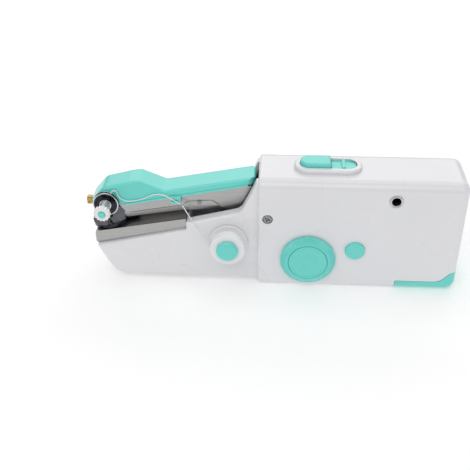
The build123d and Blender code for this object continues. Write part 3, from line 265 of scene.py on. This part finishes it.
WHITE_ABS = (0.80, 0.80, 0.825)
TEAL_ABS = (0.150, 0.715, 0.640)
MATS = {
    "white": plastic("white_abs", WHITE_ABS, 0.24, 0.32, coat=0.3),
    "bobbin_white": plastic("bobbin_white", (0.86, 0.86, 0.87), 0.28, 0.4),
    "acetal": plastic("acetal", (0.72, 0.71, 0.67), 0.35, 0.5, 700.0, 0.2),
    "teal": plastic("teal_abs", TEAL_ABS, 0.24, 0.34, coat=0.35),
    "black": plastic("black_nylon", (0.015, 0.014, 0.014), 0.3, 0.5, 800.0, 0.2),
    "steel": metal("pressed_steel", (0.44, 0.435, 0.43), 0.22, 0.36),
    "plated": metal("plated_steel", (0.66, 0.66, 0.67), 0.14, 0.28, (200.0, 200.0, 200.0), 0.05),
    "nickel": metal("black_nickel", (0.035, 0.036, 0.045), 0.08, 0.20,
                    (90.0, 90.0, 90.0), 0.05, 0.3),
    "brass": metal("turned_brass", (0.50, 0.33, 0.12), 0.20, 0.36, (900.0, 90.0, 90.0), 0.15),
    "screw": metal("screw_steel", (0.30, 0.30, 0.31), 0.22, 0.36, (300.0, 300.0, 300.0), 0.1),
    "can": metal("motor_can", (0.50, 0.50, 0.50), 0.30, 0.45, (300.0, 20.0, 300.0), 0.15),
    "cell": metal("cell_jacket", (0.05, 0.06, 0.09), 0.25, 0.35, (300.0, 300.0, 9.0), 0.05),
    "wire": plastic("wire_sleeve", (0.35, 0.02, 0.015), 0.4, 0.55, 900.0, 0.2),
    "yarn": yarn("polyester_yarn", (0.86, 0.86, 0.86)),
}
LOOKS = {
    "white": "front_shell rear_shell switch_bezel",
    "bobbin_white": "bobbin",
    "acetal": "switch_carrier main_gear idler_gear",
    "teal": "battery_cover arm_cover power_button lock_slider stitch_button thread_guide "
            "tension_post",
    "black": "power_switch stitch_switch",
    "steel": "arm_frame throat_plate presser_arm gear_plate drive_fork feed_rod looper",
    "plated": "presser_pin looper_pin idler_pin main_shaft motor_shaft needle "
              "needle_clamp feed_dog spool_spindle tension_spring presser_spring power_spring "
              "spool_spring battery_contacts cover_contacts",
    "nickel": "presser_foot",
    "screw": "case_screws pivot_screw motor_screws arm_rivet",
    "brass": "needle_clamp_screw foot_screw shaft_bushes motor_pinion",
    "can": "motor",
    "cell": "batteries",
    "wire": "wiring",
}
for look, names in LOOKS.items():
    for node_name in names.split():
        slots = NODES[node_name].data.materials
        slots.clear()
        slots.append(MATS[look])
for piece in YARNS:
    piece.data.materials.append(MATS["yarn"])


# ---------------------------------------------------------------- turned and moulded pieces
SHARP_ANGLE = math.radians(32)
AXIS_RADIUS = 0.001            # a smaller radius is a point on the axis
PLAIN_STEPS = 96               # steps round a turned piece
FINE_STEPS = 144
RIBS = 96                      # round the handwheel
RIB_STEPS = 6                  # steps round each rib
LOBES = 14                     # round the tension nut
LOBE_STEPS = 16
TURN_PITCH = 0.36              # from one turn of wound thread to the next
JACK = (46.0, 59.5)            # axis of the power socket, X and Z
BLOCK = 9.0                    # stands for the outline of the square socket body


class Seat:
    """Where a node stands, in millimetres: its middle, radius and front and back faces."""

    def __init__(self, node):
        low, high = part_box(node)
        self.x = (low[0] + high[0]) / 2 / MM
        self.z = (low[2] + high[2]) / 2 / MM
        self.radius = (high[0] - low[0]) / 2 / MM
        self.front = low[1] / MM
        self.back = high[1] / MM
        self.depth = self.back - self.front


def finish_piece(node, name, mesh, looks):
    """Object from a mesh, standing for its node and riding the same body."""
    for look in looks:
        mesh.materials.append(MATS[look])
    mesh.shade_smooth()
    mesh.set_sharp_from_angle(angle=SHARP_ANGLE)
    piece = bpy.data.objects.new(name, mesh)
    bpy.context.scene.collection.objects.link(piece)
    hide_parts(node)
    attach(piece, BODY_OF[node])
    return piece


def lathe(node, name, loops, steps, looks, ripple=None, spot=None):
    """Turned piece about an axis along Y; each loop is a closed profile of (radius, y, look)."""
    seat = Seat(node)
    x, z = spot if spot else (seat.x, seat.z)
    verts, faces, marks = [], [], []
    for loop in loops:
        base = len(verts)
        rings = []
        for radius, y, look in loop:
            if radius < AXIS_RADIUS:
                rings.append([len(verts)] * steps)
                verts.append((x * MM, y * MM, z * MM))
                continue
            ring = []
            for step in range(steps):
                angle = 2 * math.pi * step / steps
                r, depth = ripple(angle, radius, y) if ripple else (radius, y)
                ring.append(len(verts))
                verts.append(((x + r * math.cos(angle)) * MM, depth * MM,
                              (z + r * math.sin(angle)) * MM))
            rings.append(ring)
        count = len(loop)
        open_ends = loop[0][0] < AXIS_RADIUS and loop[-1][0] < AXIS_RADIUS
        for index in range(count - 1 if open_ends else count):
            near, far = rings[index], rings[(index + 1) % count]
            for step in range(steps):
                after = (step + 1) % steps
                corners = [near[step], near[after], far[after], far[step]]
                single = list(dict.fromkeys(corners))
                if len(single) > 2:
                    faces.append(single)
                    marks.append(loop[index][2])
    mesh = bpy.data.meshes.new(name)
    mesh.from_pydata(verts, [], faces)
    mesh.validate()
    for polygon, mark in zip(mesh.polygons, marks):
        polygon.material_index = mark
    fix = bmesh.new()
    fix.from_mesh(mesh)
    bmesh.ops.recalc_face_normals(fix, faces=fix.faces)
    fix.to_mesh(mesh)
    fix.free()
    return finish_piece(node, name, mesh, looks)


def handwheel():
    """Bevelled rim with fine radial ribs round a recess for the cap."""
    seat = Seat("handwheel")
    rim, front, depth = seat.radius, seat.front, seat.depth
    profile = [(2.0, depth), (2.0, 1.15), (rim - 4.6, 1.15), (rim - 4.6, 0.15), (rim - 4.45, 0.0),
               (rim - 3.8, 0.0), (rim - 3.55, 0.1), (rim - 3.3, 0.22), (rim - 1.3, 1.2),
               (rim - 0.7, 1.5), (rim - 0.25, 1.95), (rim - 0.05, 2.5), (rim - 0.05, depth - 0.3),
               (rim - 0.3, depth)]

    def ribs(angle, radius, y):
        rise = (radius - (rim - 3.45)) / 0.5
        weight = max(0.0, min(1.0, rise))
        dip = weight * (0.5 - 0.5 * math.cos(RIBS * angle))
        level = y - front
        fade = max(0.0, min(1.0, (depth - 0.2 - level) / 0.4))
        return radius - 0.16 * dip * fade, y + 0.26 * dip * (1.0 if level < 1.9 else 0.0)

    loop = [(radius, front + y, 0) for radius, y in profile]
    lathe("handwheel", "handwheel_rim", [loop], RIBS * RIB_STEPS, ["teal"], ribs)


def handwheel_cap():
    """Disc with a raised lip and two shallow rings."""
    seat = Seat("handwheel_cap")
    rim, front = seat.radius, seat.front
    profile = [(0.0, 0.42), (2.7, 0.42), (2.9, 0.3), (3.5, 0.3), (3.7, 0.42), (5.9, 0.42),
               (6.05, 0.47), (6.25, 0.47), (6.4, 0.42), (rim - 1.5, 0.38), (rim - 1.2, 0.18),
               (rim - 0.85, 0.03), (rim - 0.5, 0.0), (rim - 0.2, 0.1), (rim - 0.04, 0.32),
               (rim, 0.6), (rim, seat.depth), (0.0, seat.depth)]
    loop = [(r, front + y, 0) for r, y in profile]
    lathe("handwheel_cap", "handwheel_face", [loop], FINE_STEPS, ["teal"])


def tension_nut():
    """Soft-lobed thumb nut."""
    seat = Seat("tension_nut")
    rim, front, depth = seat.radius, seat.front, seat.depth
    profile = [(1.97, depth), (1.97, 0.3), (2.3, 0.0), (rim - 1.3, 0.0), (rim - 0.8, 0.08),
               (rim - 0.3, 0.3), (rim - 0.05, 0.7), (rim, 1.1), (rim, 2.2), (rim - 0.12, 2.65),
               (rim - 0.5, 2.95), (3.4, 3.0), (3.3, 3.1), (3.3, depth)]

    def lobes(angle, radius, y):
        weight = max(0.0, min(1.0, (radius - rim + 1.5) / 1.2))
        return radius - weight * 0.3 * (1 - math.cos(LOBES * angle)), y

    loop = [(r, front + y, 0) for r, y in profile]
    lathe("tension_nut", "tension_thumb_nut", [loop], LOBES * LOBE_STEPS, ["bobbin_white"], lobes)


def tension_discs():
    """Pair of dished discs, black nickel, with the rolled rim and the hub ring in bright plated
    steel as a painted highlight.
    """
    seat = Seat("tension_discs")
    rim, front = seat.radius, seat.front
    # mark 1 gives the rim and the hub ring the brighter plated metal: a painted highlight and
    # reflection on discs of one metal
    near = [(2.0, 0.0, 1), (3.1, 0.0, 1), (3.35, 0.15, 1), (3.4, 0.45, 0), (3.6, 0.95, 0),
            (4.2, 1.1, 0), (5.4, 1.05, 0), (6.1, 0.85, 0), (rim - 0.65, 0.68, 1),
            (rim - 0.3, 0.66, 1), (rim - 0.05, 0.8, 1), (rim, 1.05, 1), (rim - 0.05, 1.4, 1),
            (rim - 0.3, 1.6, 0), (2.0, 1.6, 0)]
    far = [(2.0, 1.68, 0), (3.4, 1.68, 0), (3.4, 2.55, 0), (rim - 0.5, 2.6, 0),
           (rim - 0.1, 2.68, 1), (rim, 2.85, 1), (rim - 0.1, 3.02, 1), (rim - 0.4, 3.1, 0),
           (2.0, 3.1, 0)]
    loops = [[(r, front + y, mark) for r, y, mark in part] for part in (near, far)]
    lathe("tension_discs", "tension_disc_pair", loops, FINE_STEPS, ["nickel", "plated"])


def spool_cap():
    """Round cap with a soft shoulder."""
    seat = Seat("spool_cap")
    rim, front, depth = seat.radius, seat.front, seat.depth
    profile = [(0.0, 0.0), (2.0, 0.01), (rim - 2.0, 0.06), (rim - 1.1, 0.2), (rim - 0.5, 0.48),
               (rim - 0.12, 0.95), (rim, 1.5), (rim, depth - 0.2), (rim - 0.2, depth), (0.0, depth)]
    loop = [(r, front + y, 0) for r, y in profile]
    lathe("spool_cap", "spool_button", [loop], PLAIN_STEPS, ["teal"])


def bobbin_thread():
    """Wound thread: one rounded ridge for every turn."""
    seat = Seat("bobbin_thread")
    rim, front, depth = seat.radius, seat.front, seat.depth
    turns = int(depth / TURN_PITCH)
    loop = [(5.0, front + depth, 0), (5.0, front, 0)]
    for turn in range(turns):
        start = front + depth * turn / turns
        for part, drop in ((0.08, 0.16), (0.3, 0.04), (0.5, 0.0), (0.7, 0.04), (0.92, 0.16)):
            loop.append((rim - drop - 0.05 * math.sin(turn * 2.3), start + part * depth / turns, 0))
    lathe("bobbin_thread", "bobbin_windings", [loop], PLAIN_STEPS, ["yarn"])


def dc_jack():
    """Ringed barrel with a black socket body behind the wall."""
    seat = Seat("dc_jack")
    front = seat.front
    x, z = JACK
    ring = [(2.35, 0.5, 1), (2.55, 0.12, 0), (2.75, 0.0, 0), (2.95, 0.0, 0), (3.02, 0.22, 0),
            (3.12, 0.22, 0), (3.2, 0.02, 0), (3.38, 0.06, 0), (3.46, 0.3, 0), (3.54, 0.3, 0),
            (3.6, 0.18, 0), (3.64, 0.4, 0), (3.64, 2.6, 1), (2.9, 2.7, 1), (2.9, 9.6, 1),
            (2.35, 9.6, 1)]
    core = [(0.0, 9.7, 1), (2.88, 9.7, 1), (2.88, 9.9, 1), (0.0, 9.9, 1)]
    low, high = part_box("dc_jack")
    left, right, tall = x - low[0] / MM, high[0] / MM - x, high[2] / MM - z
    block = [(2.92, 2.75, 1), (BLOCK, 2.75, 1), (BLOCK, seat.depth, 1), (2.92, seat.depth, 1)]

    def square(angle, radius, y):
        if radius < BLOCK:
            return radius, y
        across = math.cos(angle)
        reach = (right if across > 0 else left) / max(abs(across), 0.001)
        return min(reach, tall / max(abs(math.sin(angle)), 0.001)), y

    loops = [[(r, front + y, mark) for r, y, mark in part] for part in (ring, core, block)]
    lathe("dc_jack", "jack_barrel", loops, PLAIN_STEPS, ["plated", "black"], square, (x, z))


handwheel()
handwheel_cap()
tension_nut()
tension_discs()
spool_cap()
bobbin_thread()
dc_jack()


# ---------------------------------------------------------------- floor and light
FLOOR_HALF = 2.5
FLOOR_GLOW = 0.27
SKY_STRENGTH = 0.38


def floor():
    """Seamless pale sweep under the machine."""
    mesh = bpy.data.meshes.new("studio_floor")
    half = FLOOR_HALF
    mesh.from_pydata([(-half, -half, 0), (half, -half, 0), (half, half, 0), (-half, half, 0)], [],
                     [(0, 1, 2, 3)])
    piece = bpy.data.objects.new("studio_floor", mesh)
    bpy.context.scene.collection.objects.link(piece)
    s = Shader("studio_paper")
    grain = s.noise(300.0, 3.0)
    s.link(s.ramp(grain, [(0.3, (0.80, 0.80, 0.80)), (0.7, (0.82, 0.82, 0.82))]),
           s.bsdf.inputs["Base Color"])
    s.sockets(Roughness=0.9, Emission_Color=(1.0, 1.0, 1.0, 1.0), Emission_Strength=FLOOR_GLOW)
    mesh.materials.append(s.material)


def lamp(name, place, aim, size, power):
    """Soft area light pointing at the machine."""
    data = bpy.data.lights.new(name, "AREA")
    data.shape = "RECTANGLE"
    data.size = size[0]
    data.size_y = size[1]
    data.energy = power
    lamp_object = bpy.data.objects.new(name, data)
    bpy.context.scene.collection.objects.link(lamp_object)
    lamp_object.location = place
    direction = Vector(aim) - Vector(place)
    lamp_object.rotation_euler = direction.to_track_quat("-Z", "Y").to_euler()


floor()
lamp("key_softbox", (-0.32, -0.85, 1.25), (-0.02, 0, 0.03), (1.5, 0.8), 7.6)
lamp("fill_softbox", (0.9, -0.6, 0.9), (0, 0, 0.03), (0.8, 0.8), 1.2)
lamp("top_softbox", (0.0, 0.3, 1.4), (0, 0, 0.03), (1.4, 0.9), 4.2)
lamp("back_softbox", (0.1, 1.15, 0.85), (0, 0, 0.03), (2.0, 0.7), 6.0)
world = bpy.data.worlds.new("studio")
bpy.context.scene.world = world
world.use_nodes = True
sky = world.node_tree.nodes["Background"]
sky.inputs["Color"].default_value = (1.0, 1.0, 1.0, 1.0)
sky.inputs["Strength"].default_value = SKY_STRENGTH
bpy.context.scene.view_settings.view_transform = "Standard"

bpy.context.view_layer.update()
